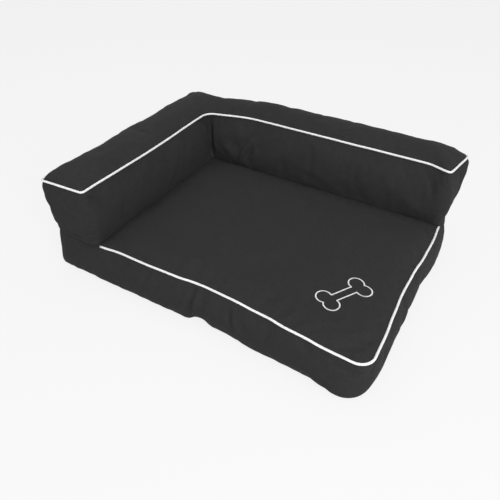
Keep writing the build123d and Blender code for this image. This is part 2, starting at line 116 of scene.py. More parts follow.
class Finish:
    """The node tree of one material, or of the world, written as expressions."""

    def __init__(self, tree):
        self.tree = tree

    def node(self, kind, settings=None, *values, **named):
        """A node of that kind: its settings first, then its sockets in their order or by name."""
        made = self.tree.nodes.new(kind)
        for name, value in (settings or {}).items():
            setattr(made, name, value)
        sockets = [*zip(made.inputs, values)]
        sockets += [(made.inputs[name], value) for name, value in named.items()]
        for socket, value in sockets:
            self.feed(socket, value)
        return Wire(self, made.outputs[0])

    def feed(self, socket, value):
        """Links a wire to a socket, or writes a plain value into it."""
        if isinstance(value, Wire):
            self.tree.links.new(value.socket, socket)
        else:
            socket.default_value = value

    def mix(self, share, first, second):
        """Colour between two colours."""
        made = self.node("ShaderNodeMix", {"data_type": "RGBA"})
        inputs = made.socket.node.inputs
        for socket, value in zip((inputs[0], inputs[6], inputs[7]), (share, first, second)):
            self.feed(socket, value)
        return Wire(self, made.socket.node.outputs[2])


def grey(level):
    """Linear colour of a neutral grey that shows as that level out of 255."""
    value = (level / 255 + 0.055) / 1.055
    return (value**2.4,) * 3 + (1.0,)


def new_finish(name):
    """A new material, its finish and the sockets of its shader."""
    material = bpy.data.materials.new(name)
    material.use_nodes = True
    return material, Finish(material.node_tree), material.node_tree.nodes["Principled BSDF"].inputs


surround_seen, surround_fill = 1.0, 0.36
world = bpy.data.worlds.new("studio")
bpy.context.scene.world = world
world.use_nodes = True
studio = Finish(world.node_tree)
surround = world.node_tree.nodes["Background"].inputs
rays = studio.node("ShaderNodeLightPath")
seen = rays.part("Is Camera Ray").larger(rays.part("Is Glossy Ray")).larger(rays.part("Is Transmission Ray"))
studio.feed(surround["Strength"], seen * (surround_seen - surround_fill) + surround_fill)
surround["Color"].default_value = (1, 1, 1, 1)

floor_reach, floor_tone, floor_glow_strength, floor_glow_share = 4, 0.5, 1.15, 0.7
floor_corners = [(x * floor_reach, y * floor_reach, 0) for x, y in ((-1, -1), (1, -1), (1, 1), (-1, 1))]
floor_mesh = bpy.data.meshes.new("floor")
floor_mesh.from_pydata(floor_corners, [], [(0, 1, 2, 3)])
floor = shown("floor", floor_mesh)
floor_paint, floor_finish, floor_surface = new_finish("white_floor")
floor_surface["Base Color"].default_value = (floor_tone, floor_tone, floor_tone, 1)
floor_surface["Roughness"].default_value = 1.0
floor_nodes = floor_paint.node_tree.nodes
floor_rays = floor_finish.node("ShaderNodeLightPath")
floor_glow = floor_finish.node("ShaderNodeEmission", None, (1, 1, 1, 1), floor_glow_strength)
floor_seen = floor_rays.part("Is Camera Ray").larger(floor_rays.part("Is Glossy Ray")) * floor_glow_share
floor_plain = Wire(floor_finish, floor_nodes["Principled BSDF"].outputs[0])
floor_mix = floor_finish.node("ShaderNodeMixShader", None, floor_seen, floor_plain, floor_glow)
floor_finish.feed(floor_nodes["Material Output"].inputs["Surface"], floor_mix)
floor_mesh.materials.append(floor_paint)

lamp_aim = Vector((0, 0, 0.1))
for lamp_name, lamp_place, lamp_side, lamp_power in (
    ("overhead_box", Vector((-0.3, -0.1, 2.4)), 2.6, 9.0),
    ("front_box", Vector((1.9, -2.0, 2.0)), 1.8, 76.0),
):
    lamp_data = bpy.data.lights.new(lamp_name, "AREA")
    lamp_data.size, lamp_data.energy = lamp_side, lamp_power
    lamp = shown(lamp_name, lamp_data)
    lamp.location = lamp_place
    lamp.rotation_euler = (lamp_place - lamp_aim).to_track_quat("Z", "Y").to_euler()
bpy.context.scene.view_settings.view_transform = "Standard"


# Mattress cover. A boxed cover of charcoal polyester canvas over foam: a top panel, bands round the
# sides and a black underside, sewn together inside out and turned. The stuffed sides bulge between seams.
thread_pitch = 0.0009
slub_length, slub_width = 50.0, 700.0  # slubs to a metre along and across a thread


def weave(finish, across, along, pitch):
    """Height of a plain weave: each thread arches over the next one and dips under the one after it."""
    warp = (across * (math.pi / pitch)).sine()
    weft = (along * (math.pi / pitch)).sine()
    over = (warp * weft * 3.0 + 0.5).share()
    return warp.size() * over + weft.size() * (1.0 - over)


def finish_surface(finish, surface, colour, rough, strength, depth, relief):
    """Gives a shader its colour, its roughness and its fine relief."""
    bump = finish.node("ShaderNodeBump", None, Strength=strength, Distance=depth, Height=relief)
    for name, value in (("Base Color", colour), ("Roughness", rough), ("Normal", bump)):
        finish.feed(surface[name], value)


def cloth_finish(name, level, pitch, sheen, mottle=0.12):
    """Woven cloth that follows the piece's own UV map, which is in metres."""
    material, finish, surface = new_finish(name)
    surface["Sheen Weight"].default_value = sheen
    surface["Sheen Roughness"].default_value = 0.5
    surface["Specular IOR Level"].default_value = 0.1
    place = finish.node("ShaderNodeUVMap", {"uv_map": "UVMap"})
    apart = finish.node("ShaderNodeSeparateXYZ", None, place)
    height = weave(finish, apart.part("X"), apart.part("Y"), pitch)
    body = finish.node("ShaderNodeTexCoord").part("Object")
    cloud = finish.node("ShaderNodeTexNoise", None, Vector=body, Scale=14.0, Detail=3.0)
    slubs = []
    for stretch in ((slub_length, slub_width, 1.0), (slub_width, slub_length, 1.0)):
        drawn = finish.node("ShaderNodeMapping", None, Vector=place, Scale=stretch)
        slubs.append(finish.node("ShaderNodeTexNoise", None, Vector=drawn, Scale=1.0, Detail=1.0))
    slub = (slubs[0] + slubs[1]) * 0.5
    tone = (height * 0.35 + (slub - 0.5) * 1.2 + (cloud - 0.5) * (mottle * 3.0) + 0.33).share()
    colour = finish.mix(tone, grey(level * 0.80), grey(level * 1.20))
    rough = height * -0.06 + cloud * 0.08 + 0.84
    ripple = finish.node("ShaderNodeTexNoise", None, Vector=body, Scale=90.0, Detail=2.0)
    relief = height * 0.6 + slub * 0.5 + ripple * 0.7
    finish_surface(finish, surface, colour, rough, 0.55, 0.0005, relief)
    return material


canvas = cloth_finish("charcoal_canvas", 48.0, thread_pitch, 0.02)
backing = cloth_finish("black_backing", 34.0, 0.0006, 0.0)


def unit(vector):
    return vector / np.linalg.norm(vector)


def run_along(line):
    """How far along a line each of its points is."""
    return np.concatenate([[0], np.cumsum(np.linalg.norm(np.diff(line, axis=0), axis=1))])


arc_points, fine_points, corner_density = 12, 3000, 1.5


def side_line(before, start, end, after, start_radius, end_radius, spaces, dense_reach=0.03):
    """Points from the middle of one rounded corner to the middle of the next, closer near both."""
    before, start, end, after = (np.array(corner, float) for corner in (before, start, end, after))
    back, ahead, onward = unit(before - start), unit(end - start), unit(after - end)
    swing = np.linspace(0, math.pi / 4, arc_points)[:, None]
    start_middle = start + (back + ahead) * start_radius
    end_middle = end + (onward - ahead) * end_radius
    leaving = start_middle - start_radius * (back * np.cos(swing) + ahead * np.sin(swing))[::-1]
    coming = end_middle - end_radius * (onward * np.cos(swing) - ahead * np.sin(swing))
    line = np.vstack([leaving, coming])
    run = run_along(line)
    fine = np.linspace(0, run[-1], fine_points)
    weight = 1 + corner_density * (np.exp(-fine / dense_reach) + np.exp((fine - run[-1]) / dense_reach))
    reached = np.concatenate([[0], np.cumsum((weight[1:] + weight[:-1]) / 2)])
    picked = np.interp(np.linspace(0, reached[-1], spaces + 1), reached, fine)
    return np.stack([np.interp(picked, run, line[:, axis]) for axis in (0, 1)], axis=1)


def fill_grid(lower, upper, first, last):
    """Grid of points between four border lines. The first two run the same way, and so do the others."""
    across = np.linspace(0, 1, len(lower))[None, :, None]
    up = np.linspace(0, 1, len(first))[:, None, None]
    ruled = (1 - up) * lower[None] + up * upper[None]
    ruled += (1 - across) * first[:, None] + across * last[:, None]
    corners = (1 - up) * ((1 - across) * lower[0] + across * lower[-1])
    corners = corners + up * ((1 - across) * upper[0] + across * upper[-1])
    return ruled - corners


def saturate(distance, reach, power):
    """From 0 at a seam, steeply up and then level at 1 beyond reach."""
    share = np.clip(distance / reach, 0, 1)
    return (1 - (1 - share) ** power) ** (1 / power)


def built_piece(name, build, materials):
    """The object made of a closed mesh, with its faces pointing outwards."""
    bmesh.ops.recalc_face_normals(build, faces=build.faces)
    mesh = bpy.data.meshes.new(name)
    build.to_mesh(mesh)
    build.free()
    for material in materials:
        mesh.materials.append(material)
    return shown(name, mesh)


seam_closeness, zip_side_reach, zip_end_reach = 0.00003, 0.016, 0.02


class Cover:
    """A closed cloth cover, gathered from panels that share their borders."""

    def __init__(self, name, materials):
        self.name, self.materials = name, materials
        self.build = bmesh.new()
        self.uv = self.build.loops.layers.uv.new("UVMap")
        self.held = self.build.verts.layers.float.new("held")

    def panel(self, points, flat, material=0, held=None):
        """A grid of points with their places on the flat cloth. held is 1 where a seam holds it."""
        rows, columns = points.shape[:2]
        made = [[self.build.verts.new(points[r, c]) for c in range(columns)] for r in range(rows)]
        if held is not None:
            for r in range(rows):
                for c in range(columns):
                    made[r][c][self.held] = float(held[r, c])
        for r in range(rows - 1):
            for c in range(columns - 1):
                corners = ((r, c), (r, c + 1), (r + 1, c + 1), (r + 1, c))
                face = self.build.faces.new([made[i][j] for i, j in corners])
                face.material_index, face.smooth = material, True
                for loop, (i, j) in zip(face.loops, corners):
                    loop[self.uv].uv = flat[i, j]

    def band(self, grid, heights, zip_place=None):
        """A band of cloth, held at its upper and lower seams and beside its zip, if it has one."""
        run = run_along(grid[-1])
        flat = np.stack([np.tile(run, (len(heights), 1)), np.tile(heights[:, None], (1, len(run)))], -1)
        held = np.zeros(grid.shape[:2])
        held[0] = held[-1] = 1
        if zip_place:
            height, half_length = zip_place
            near_height = np.abs(grid[..., 2] - height) < zip_side_reach
            held[near_height & (np.abs(grid[..., 0]) < half_length + zip_end_reach)] = 1
        self.panel(grid, flat, 0, held)

    def sewn(self):
        """The cover as an object, its panels joined and its faces pointing outwards."""
        bmesh.ops.remove_doubles(self.build, verts=self.build.verts, dist=seam_closeness)
        return built_piece(self.name, self.build, self.materials)


def vectors_of(rows, label):
    """One vector of each vertex, as an array."""
    vectors = np.zeros(len(rows) * 3, np.float32)
    rows.foreach_get(label, vectors)
    return vectors.reshape(-1, 3).astype(float)


def places_of(mesh):
    return vectors_of(mesh.vertices, "co")


def normals_of(mesh):
    return vectors_of(mesh.vertex_normals, "vector")


def move_to(mesh, places):
    mesh.vertices.foreach_set("co", places.astype(np.float32).ravel())
    mesh.update()


cloth_frames, cloth_steps, canvas_stiffness = 20, 5, 0.4


def inflate(piece, pressure, slack, give):
    """Lets the stuffing press the cover out between its held seams. give(places) is how far at most."""
    mesh = piece.data
    rest = places_of(mesh)
    held = np.zeros(len(mesh.vertices), np.float32)
    mesh.attributes["held"].data.foreach_get("value", held)
    group = piece.vertex_groups.new(name="held")
    for index in np.nonzero(held > 0)[0]:
        group.add([int(index)], float(held[index]), "REPLACE")
    cloth = piece.modifiers.new("stuffing", "CLOTH")
    cloth.settings.quality = cloth_steps
    cloth.settings.use_pressure = True
    cloth.settings.uniform_pressure_force = pressure
    cloth.settings.vertex_group_mass = "held"
    cloth.settings.shrink_min = -slack
    cloth.settings.bending_stiffness = canvas_stiffness
    cloth.settings.effector_weights.gravity = 0
    cloth.collision_settings.use_collision = False
    cloth.point_cache.frame_start, cloth.point_cache.frame_end = 1, cloth_frames
    for number in range(1, cloth_frames + 1):
        bpy.context.scene.frame_set(number)
    settled = piece.evaluated_get(bpy.context.evaluated_depsgraph_get())
    moved = places_of(settled.data) - rest
    piece.modifiers.remove(cloth)
    piece.vertex_groups.clear()
    bpy.context.scene.frame_set(1)
    far = np.linalg.norm(moved, axis=1)
    kept = np.minimum(1, give(rest) / np.maximum(far, 1e-9))
    move_to(mesh, rest + moved * kept[:, None])


def smoothed(piece):
    """The piece with one level of subdivision, as a plain mesh."""
    finer = piece.modifiers.new("finer", "SUBSURF")
    finer.levels = finer.render_levels = 1
    fine = bpy.data.meshes.new_from_object(piece.evaluated_get(bpy.context.evaluated_depsgraph_get()))
    piece.modifiers.remove(finer)
    coarse, piece.data = piece.data, fine
    bpy.data.meshes.remove(coarse)
    fine.name = piece.name
    return fine


def ease(value, low, high):
    """From 0 at low to 1 at high, level at both."""
    share = np.clip((value - low) / (high - low), 0, 1)
    return share * share * (3 - 2 * share)


def fold(places, start, end, width, depth, lip=0.45):
    """How far a fold moves the cloth out: a groove from start to end with a soft ridge on either side."""
    start, end = np.array(start), np.array(end)
    run = end - start
    along = np.clip((places - start) @ run / (run @ run), 0, 1)
    away = np.linalg.norm(places - (start + along[:, None] * run), axis=1) / width
    fade = np.sin(np.clip(along, 0.03, 0.97) * math.pi) ** 0.6
    return (lip * depth * np.exp(-((away - 1.8) ** 2)) - depth * np.exp(-(away**2))) * fade


def unevenness(places, pitch, amount):
    """Slow waves in hand-filled cloth."""
    return np.array([noise(Vector(place) / pitch) for place in places]) * amount


bed_length, bed_depth, seat_seam = 0.800, 0.600, 0.105
left, right, front, back = -bed_length / 2, bed_length / 2, -bed_depth / 2, bed_depth / 2
left_foot, back_foot = -0.260, 0.209
long_spaces, short_spaces = 104, 78
seat_corner = 0.030
# Each level has its height, its growth on the left, front, right and back, the radii of its corners from the
# left front round, its share of the pulls, how far its front swells out at the right, and its share of the
# spreads
mattress_levels = (
    (0.0, (0.001, 0.004, 0.011, 0.0), (0.022, 0.056, 0.040, 0.040), 0.5, 0.012, 1.0),
    (0.048, (0.001, 0.006, 0.012, 0.0), (0.026, 0.074, 0.040, 0.040), 0.4, 0.006, 0.6),
    (seat_seam, (0.0,) * 4, (seat_corner,) * 4, 1.0, 0.0, 0.0),
)
# Places along the front and along the right side, each with how far the piped seam is drawn in there
front_pulls = (
    (-0.40, 0.0), (-0.258, 0.0085), (-0.19, 0.0155), (-0.12, 0.0155), (-0.06, 0.018), (0.03, 0.025),
    (0.10, 0.023), (0.165, 0.018), (0.25, 0.009), (0.33, 0.002), (0.40, 0.0),
)
right_pulls = (
    (-0.30, 0.0), (-0.21, 0.001), (-0.146, 0.0050), (-0.075, 0.0082), (0.0, 0.0066), (0.07, 0.0015),
    (0.147, 0.0), (0.21, 0.003), (0.26, 0.0),
)
# Such places with how far the stuffed band stands out at the floor, or in where the value is below zero
front_spread = (
    (-0.40, 0.0), (-0.34, 0.005), (-0.29, 0.007), (-0.25, 0.009), (-0.20, 0.0105), (-0.13, 0.009),
    (-0.05, 0.009), (-0.015, 0.007), (0.01, 0.004), (0.04, 0.001), (0.10, -0.001), (0.14, 0.002),
    (0.18, 0.001), (0.24, -0.004), (0.30, -0.006), (0.34, 0.0), (0.40, 0.0),
)
right_spread = (
    (-0.30, 0.0), (-0.25, -0.006), (-0.20, -0.006), (-0.14, -0.002), (-0.08, 0.0), (-0.02, -0.001),
    (0.03, -0.005), (0.06, -0.007), (0.085, -0.002), (0.12, 0.005), (0.19, 0.006), (0.23, 0.002),
    (0.265, -0.004), (0.30, 0.0),
)
side_reach, tuck_reach, pull_smoothing = 0.025, 0.04, 0.035
dome_height, dome_reach, foot_reach = 0.011, 0.13, 0.10
swell_start, swell_end, swell_depth = -0.06, 0.34, 0.14
end_reach, seat_give, base_level, stuffing_pressure = 0.12, 0.006, 0.0012, 4.0


def drawn_in(place, known):
    """How far a side is drawn in, or spread, at each place along it, smoothly between the known places."""
    spots, depths = np.array(known).T
    nearby = np.exp(-(((place[..., None] - spots) / pull_smoothing) ** 2))
    straight = np.interp(place, spots, depths)
    return 0.5 * straight + 0.5 * (nearby * depths).sum(-1) / np.maximum(nearby.sum(-1), 1e-9)


def mattress_sides(grow, radii, bow, swell=0.0, spread=0.0):
    """The front, right, back and left lines of the mattress at one level, each from corner to corner."""
    x_left, y_front, x_right, y_back = left - grow[0], front - grow[1], right + grow[2], back + grow[3]
    corners = [(x_left, y_front), (x_right, y_front), (x_right, y_back), (x_left, y_back)]
    lines = []
    for number, spaces in enumerate((long_spaces, short_spaces, long_spaces, short_spaces)):
        around = [corners[(number + step) % 4] for step in (-1, 0, 1, 2)]
        lines.append(side_line(*around, radii[number], radii[(number + 1) % 4], spaces))
    for line in lines:
        inward = drawn_in(line[:, 0], front_pulls) * bow - drawn_in(line[:, 0], front_spread) * spread
        line[:, 1] += np.where(line[:, 1] < front + side_reach, inward, 0)
        inward = drawn_in(line[:, 1], right_pulls) * bow - drawn_in(line[:, 1], right_spread) * spread
        line[:, 0] -= np.where(line[:, 0] > right - side_reach, inward, 0)
        swelling = swell * ease(line[:, 0], swell_start, swell_end)
        line[:, 1] -= swelling * (1 - ease(line[:, 1], front, front + swell_depth))
    return lines


def level_blend(levels, height):
    """Shares of three levels that a height between them takes, for one smooth curve through all."""
    shares = []
    for own in levels:
        others = [level for level in levels if level is not own]
        shares.append(math.prod((height - level[0]) / (own[0] - level[0]) for level in others))
    return shares


def band_grid(lines, heights, levels, edge_round=0.0):
    """Rows of points up a band, from the same side's line at three levels. Its foot can be rounded in."""
    rows = []
    for height in heights:
        flat = sum(share * line for share, line in zip(level_blend(levels, height), lines))
        if edge_round:
            low = max(0.0, 1 - (height - heights[0]) / edge_round)
            tuck = edge_round * 0.8 * (1 - math.sqrt(max(0.0, 1 - low * low)))
            flat = flat - np.sign(flat) * tuck * edge_pull(flat)
        rows.append(np.column_stack([flat, np.full(len(flat), height)]))
    return np.stack(rows)


def edge_pull(flat):
    """Which way each point of a band is pulled in: across the side that it is on."""
    near_x = np.clip(1 - (bed_length / 2 - np.abs(flat[:, 0])) / tuck_reach, 0, 1)
    near_y = np.clip(1 - (bed_depth / 2 - np.abs(flat[:, 1])) / tuck_reach, 0, 1)
    return np.column_stack([near_x, near_y])


def around_corner(first, second, radius):
    """Scales two distances to the sides of a corner so that both are zero on its rounding."""
    close = (first < radius) & (second < radius)
    to_arc = radius - np.hypot(radius - first, radius - second)
    return np.where(close, np.maximum(to_arc, 0) / np.maximum(np.minimum(first, second), 1e-9), 1.0)


def seat_height(places):
    """Height of the seat: a soft dome that rises steeply from its seams, flat under the bolster."""
    x, y = places[..., 0], places[..., 1]
    from_front = y - front - drawn_in(x, front_pulls)
    from_right = right - drawn_in(y, right_pulls) - x
    scale = around_corner(from_front, from_right, seat_corner)
    rise = saturate(from_front * scale, dome_reach, 2.2) * saturate(from_right * scale, dome_reach, 2.2)
    rise = rise * saturate(x - left_foot, foot_reach, 1.8) * saturate(back_foot - y, foot_reach, 1.8)
    return seat_seam + dome_height * rise


def mattress_give(places):
    """The foam's edges press the bands out least at the left end, and the wadding lifts the seat a little."""
    x, y, z = places.T
    side = np.interp(x, (left, left + end_reach, right - end_reach, right), (0.003, 0.007, 0.006, 0.006))
    return np.where(z > seat_seam - 0.0005, seat_give, side)


at_levels = [mattress_sides(*level[1:]) for level in mattress_levels]
edge_rounding, zip_end_room = 0.012, 0.002
zip_height, zip_half, zip_slot, zip_depth = 0.054, 0.320, 0.0055, 0.0031
mattress_zip_out = np.array([0.0, 1.0, 0.0])
slot_rows = zip_height + zip_slot * np.array([-1.45, -1.0, -0.92, 0.0, 0.92, 1.0, 1.45])
band_heights = np.concatenate([
    [0.003, 0.006, 0.011], np.linspace(0.018, 0.038, 4), slot_rows, np.linspace(0.070, seat_seam, 6)
])
mattress = Cover("mattress_cover", [canvas, backing])
lower_border = []
for side in range(4):
    grid = band_grid([lines[side] for lines in at_levels], band_heights, mattress_levels, edge_rounding)
    mattress.band(grid, band_heights, (zip_height, zip_half) if side == 2 else None)
    lower_border.append(grid[0])
front_line, right_line, back_line, left_line = at_levels[2]
seat_grid = fill_grid(front_line, back_line[::-1], left_line[::-1], right_line)
seat_points = np.dstack([seat_grid, seat_height(seat_grid)])
seat_held = ((seat_grid[..., 0] < left_foot + 0.001) | (seat_grid[..., 1] > back_foot - 0.001)).astype(float)
seat_held[0] = seat_held[-1] = seat_held[:, 0] = seat_held[:, -1] = 1
seat_points[..., 2] = np.where(seat_held > 0, seat_seam, seat_points[..., 2])
mattress.panel(seat_points, seat_grid, 0, seat_held)
front_low, right_low, back_low, left_low = lower_border
base_grid = fill_grid(front_low, back_low[::-1], left_low[::-1], right_low)
base_grid[1:-1, 1:-1, 2] = base_level
mattress.panel(base_grid, base_grid[..., :2], 1, np.ones(base_grid.shape[:2]))
mattress_cover = mattress.sewn()
inflate(mattress_cover, stuffing_pressure, 0.012, mattress_give)


def sink_zip(piece, height, out, half_length):
    """The slot in which a zip shows: the band's edges are turned in beside it, down to the zip's tapes."""
    places = places_of(piece.data)
    up = (places[:, 2] - height) / out[1]
    deep = (np.abs(up) < zip_slot * 0.96) & (np.abs(places[:, 0]) < half_length + zip_end_room)
    deep &= places[:, 1] > back - 0.001
    move_to(piece.data, places - np.outer(deep, out) * zip_depth)


def band_end(places, seam_place, low, high):
    """The sewn end of a band: a shallow groove that runs up the cover."""
    return fold(places, (seam_place, low), (seam_place, high), seam_width, seam_depth)


sink_zip(mattress_cover, zip_height, mattress_zip_out, zip_half)
mattress_mesh = smoothed(mattress_cover)
places, outward = places_of(mattress_mesh), normals_of(mattress_mesh)
x, y, z = places.T
seam_width, seam_depth, back_band_ends = 0.004, 0.0016, (-0.355, 0.355)
hem_swell, hem_hollow, floor_clearance = 0.002, 0.0085, 0.0008
# Each fold has its start, its end, its half width and its depth
band_folds = (
    ((-0.145, 0.085), (-0.150, 0.030), 0.006, 0.0018),
    ((-0.112, 0.095), (-0.124, 0.012), 0.007, 0.0026),
    ((-0.100, 0.082), (-0.030, 0.070), 0.016, 0.0030),
    ((0.008, 0.104), (0.004, 0.002), 0.007, 0.0070),
    ((0.074, 0.082), (0.092, 0.060), 0.012, 0.0026),
    ((0.096, 0.088), (0.119, 0.034), 0.006, 0.0042),
    ((0.134, 0.075), (0.146, 0.028), 0.006, 0.0018),
    ((0.190, 0.040), (0.215, 0.006), 0.010, 0.0018),
    ((0.280, 0.035), (0.300, 0.004), 0.010, 0.0016),
)
corner_folds = (
    ((0.336, -0.304, 0.080), (0.398, -0.296, 0.077), 0.0060, 0.0060),
    ((0.358, -0.310, 0.066), (0.402, -0.290, 0.067), 0.0055, 0.0040),
    ((0.398, -0.240, 0.092), (0.412, -0.205, 0.060), 0.007, 0.0020),
)
seat_folds = (
    ((0.300, -0.262), (0.362, -0.222), 0.010, 0.0009),
    ((0.325, -0.272), (0.376, -0.240), 0.008, 0.0009),
    ((0.272, -0.250), (0.338, -0.190), 0.012, 0.0006),
)
on_front, on_seat = 1 - ease(y, front + 0.02, front + 0.04), z > seat_seam + 0.002
moved = sum(fold(places[:, [0, 2]], *line) for line in band_folds) * on_front * ~on_seat
moved += sum(fold(places, *line) for line in corner_folds)
moved += sum(fold(places[:, :2], *line) for line in seat_folds) * on_seat
beside_zip = (1 - ease(np.abs(z - zip_height), 0.014, 0.026)) * ease(y, back - 0.03, back - 0.01)
on_band = ease(z, 0.002, 0.03) * (1 - ease(z, seat_seam - 0.03, seat_seam - 0.004)) * (1 - beside_zip)
moved += (unevenness(places, 0.07, 0.0022) + unevenness(places, 0.025, 0.0007)) * on_band
notch = ease(x, -0.004, 0.018) * (1 - ease(x, 0.020, 0.065))
hem = (hem_swell * np.exp(-(((x + 0.012) / 0.014) ** 2)) - hem_hollow * notch) * on_front
moved += hem * (1 - ease(z, 0.010, 0.050))
moved += unevenness(places, 0.09, 0.0012) * on_seat * ease(z, seat_seam + 0.002, seat_seam + 0.010)
band_seams = sum(band_end(places[:, [0, 2]], x_seam, 0.0, seat_seam) for x_seam in back_band_ends)
moved += band_seams * ease(y, back - 0.02, back - 0.01)
places += outward * moved[:, None]
places[:, 2] = np.maximum(places[:, 2], floor_clearance)
move_to(mattress_mesh, places)
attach(mattress_cover, "root")
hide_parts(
    "underside_panel", "mattress_side_band", "mattress_back_band_upper", "mattress_back_band_lower",
    "seat_panel", "mattress_foam", "seat_wadding",
)


# Bolster cover. An L-shaped stuffed roll that is sewn to the mattress along its foot. Its inner faces
# are fuller than its outer ones, hang over the seat and meet in a deep crease.
bolster_foot, bulge_height, top_seam = 0.1052, 0.173, 0.250
foot_level = ((left, left_foot, right), (front, back_foot, back), (0.032, 0.010, 0.032, 0.005))
bulge_level = ((-0.4030, -0.2560, 0.4110), (-0.3060, 0.1925, 0.3030), (0.034, 0.022, 0.036, 0.006))
top_level = ((-0.393, -0.278, 0.400), (-0.300, 0.202, 0.304), (0.006, 0.004, 0.036, 0.028))
arm_spaces, back_spaces, width_spaces = 64, 84, 20
back_lean, lean_foot, lean_rise = 0.029, 0.107, 0.143
bolster_zip_rise, bolster_zip_half = 0.143, 0.280
bolster_zip_out = np.array([0.0, lean_rise, -back_lean]) / math.hypot(lean_rise, back_lean)
crown_height, crown_reaches = 0.021, (0.035, 0.040, 0.045, 0.05, 0.05)
back_settle, end_skew, arm_skew, arm_plumpness = 0.034, 0.17, 0.08, 0.0045
crease_leftwards, crease_backwards = 0.011, 0.006
full_give, least_give = 0.009, 0.001
# Heights up the left arm's front end, with how far its left side is drawn in there, or out below zero
end_waist = (
    (0.105, 0.118, 0.137, 0.159, 0.180, 0.202, 0.223, 0.234, 0.246, 0.250),
    (0.004, 0.002, -0.005, -0.007, -0.007, -0.012, -0.0125, -0.010, -0.003, 0.0),
)
# Heights up the back arm's right end, with how much fuller it is there
end_fullness = (
    (0.105, 0.137, 0.154, 0.187, 0.204, 0.221, 0.237, 0.246, 0.250),
    (0.0, 0.0, 0.0035, 0.004, 0.005, 0.007, 0.007, 0.005, 0.0),
)
# Places along the back arm, with how much higher its crown is there
crown_rise = (
    (-0.41, -0.30, -0.18, -0.08, 0.02, 0.10, 0.20, 0.30, 0.38),
    (-0.003, -0.0035, -0.003, -0.0005, 0.002, 0.001, -0.0005, -0.002, -0.004),
)


def bolster_sides(level, grow=0.0):
    """The six lines of the bolster's outline at one level, from the left arm's front end round."""
    (x_outer, x_inner, x_end), (y_end, y_inner, y_outer), radii = level
    end_radius, inner_radius, outer_radius, crease_radius = radii
    corners = (
        ((x_outer - grow, y_end - grow), end_radius + grow),
        ((x_inner + grow, y_end - grow), inner_radius + grow),
        ((x_inner + grow, y_inner - grow), crease_radius - grow),
        ((x_end + grow, y_inner - grow), inner_radius + grow),
        ((x_end + grow, y_outer + grow), end_radius + grow),
        ((x_outer - grow, y_outer + grow), outer_radius + grow),
    )
    spaces = (
        width_spaces, arm_spaces, back_spaces, width_spaces,
        back_spaces + width_spaces, arm_spaces + width_spaces,
    )
    lines = []
    for number in range(6):
        around = [corners[(number + step) % 6] for step in (-1, 0, 1, 2)]
        places = [corner for corner, radius in around]
        lines.append(side_line(*places, around[1][1], around[2][1], spaces[number]))
    return lines


def bolster_crown(places):
    """Height of the bolster's top panel: steep at its edges, nearly flat between them."""
    x, y = places[..., 0], places[..., 1]
    (x_outer, x_inner, x_end), (y_end, y_inner, y_outer), radii = top_level
    end_radius, inner_radius, outer_radius, crease_radius = radii
    middle_x, middle_y = x_inner + crease_radius, y_inner - crease_radius
    round_crease = np.hypot(middle_x - x, y - middle_y) - crease_radius
    inner = np.where(y < middle_y, x_inner - x, np.where(x > middle_x, y - y_inner, round_crease))
    sides = [x - x_outer, y_outer - y, inner, y - y_end, x_end - x]
    meeting = ((0, 1, outer_radius), *((*pair, end_radius) for pair in ((0, 3), (1, 4), (2, 3), (2, 4))))
    for one, two, radius in meeting:
        scale = around_corner(sides[one], sides[two], radius)
        sides[one], sides[two] = sides[one] * scale, sides[two] * scale
    rise = math.prod(saturate(side, reach, 2.5) for side, reach in zip(sides, crown_reaches))
    return top_seam + crown_height * rise


def settled_lean(places):
    """The bolster as it stands: its back arm leans back between its ends, and its ends are cut askew."""
    moved = places.copy()
    x, y, z = places.T
    raised = np.clip((z - bolster_foot) / (top_seam - bolster_foot), 0, 1) ** 1.3
    arch = ease(x, -0.300, -0.130) * (1 - 0.55 * ease(x, 0.34, 0.41))
    moved[:, 1] += back_settle * raised * arch * ease(y, 0.13, 0.20)
    moved[:, 0] += end_skew * (y - 0.272) * raised * ease(x, 0.25, 0.38)
    moved[:, 0] += np.interp(z, *end_fullness) * ease(x, 0.36, 0.40) * ease(y, 0.25, 0.29)
    on_crown = ease(z, top_seam + 0.002, top_seam + 0.014)
    moved[:, 2] += np.interp(x, *crown_rise) * on_crown * ease(y, 0.20, 0.25)
    moved[:, 1] += arm_skew * (x + 0.32) * raised * (1 - ease(y, -0.29, -0.18))
    plump = np.sin(np.clip((y + 0.26) / 0.40, 0, 1) * math.pi)
    moved[:, 0] += arm_plumpness * raised * plump * ease(x, -0.34, -0.28) * (1 - ease(y, 0.13, 0.18))
    at_end = (1 - ease(x, -0.38, -0.30)) * (1 - ease(y, -0.27, -0.15))
    moved[:, 0] += np.interp(z, *end_waist) * at_end
    near_crease = np.exp(-(((x + 0.262) / 0.05) ** 2) - ((y - 0.200) / 0.06) ** 2)
    near_crease *= ease(z, bolster_foot + 0.002, 0.130) * (1 - ease(z, 0.235, top_seam - 0.001))
    moved[:, 0] -= crease_leftwards * near_crease
    moved[:, 1] += crease_backwards * near_crease
    beside_zip = (1 - ease(np.abs(z - bolster_zip_rise), 0.018, 0.050)) * (1 - ease(np.abs(x), 0.296, 0.38))
    zip_plane = back + back_lean * (z - lean_foot) / lean_rise
    moved[:, 1] += (zip_plane - moved[:, 1]) * (beside_zip * (y > 0.27))
    return moved


def bolster_give(places):
    """The filling presses the crease, the inner faces and the left end least."""
    x, y, z = places.T
    inner_back = (1 - ease(np.abs(y - 0.20), 0.03, 0.06)) * ease(x, -0.26, -0.20)
    left_end = (1 - ease(y, -0.28, -0.20)) * (1 - ease(x, -0.36, -0.30))
    crease_share = np.exp(-(((x + 0.262) / 0.04) ** 2) - ((y - 0.200) / 0.06) ** 2) * (z < top_seam)
    give = full_give - 0.004 * inner_back * (z < top_seam) - 0.006 * left_end - 0.008 * crease_share
    return np.maximum(give, least_give)


